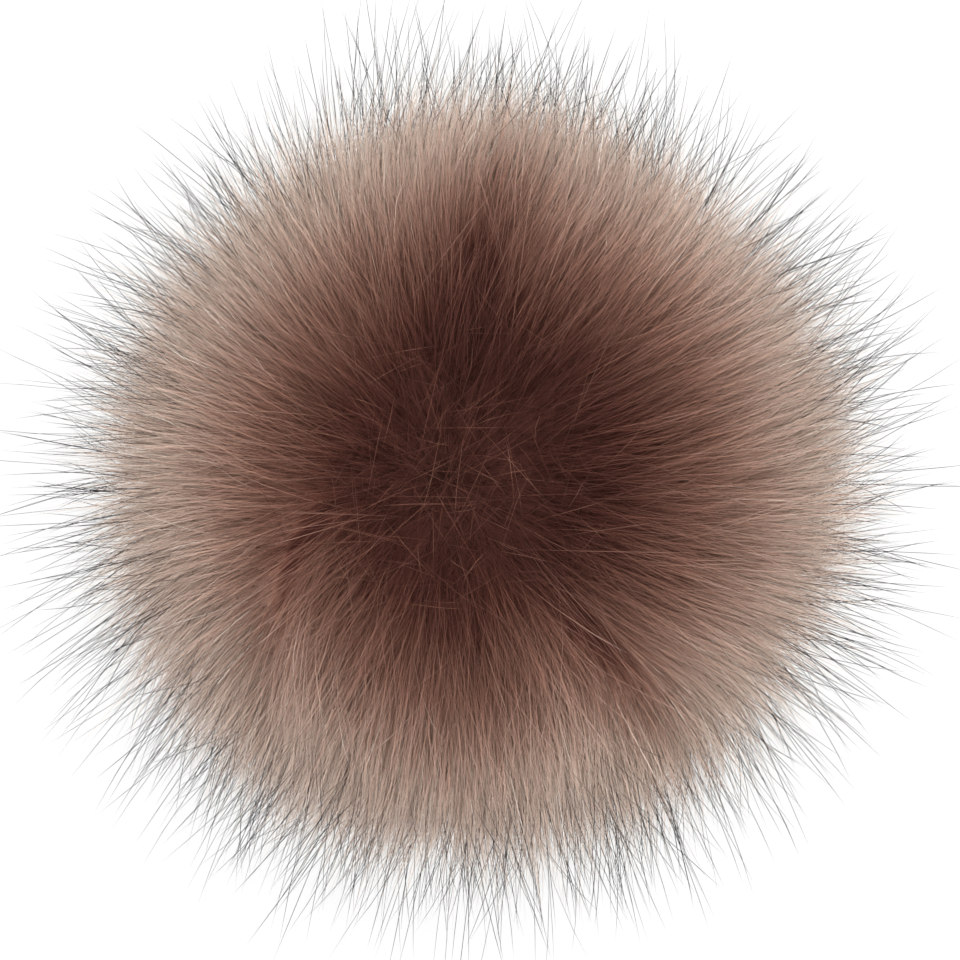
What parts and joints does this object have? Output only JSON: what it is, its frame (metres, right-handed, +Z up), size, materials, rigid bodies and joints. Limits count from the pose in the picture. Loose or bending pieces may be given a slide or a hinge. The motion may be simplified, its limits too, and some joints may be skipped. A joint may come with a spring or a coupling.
{
  "type": "pom pom",
  "caption": "Round long-pile faux fur pom pom, with a closed sew-on press stud under its base to fasten it to a hat, bag or garment.",
  "frame": {"origin": "on the press stud's axis, in the base plane that the pile and the socket disc's rolled edge rest on, under the middle of the fur ball's box", "axes": "+Z up through the crown, where the pile parts; +X and +Y as right and up in a view from above"},
  "size_m": [0.1188, 0.119, 0.0993],
  "materials": {
    "long_pile_fur": "long soft pile, dark brown at the roots, rosy tan to beige outwards, with fine black tips",
    "nickelled_steel": "pressed sheet with a worn bright nickel plating",
    "spring_wire": "bright round spring wire"
  },
  "bodies": {
    "root": {"fur_ball": "long_pile_fur", "stud_disc": "nickelled_steel", "socket_disc": "nickelled_steel", "spring_a": "spring_wire", "spring_b": "spring_wire"}
  },
  "joints": []
}
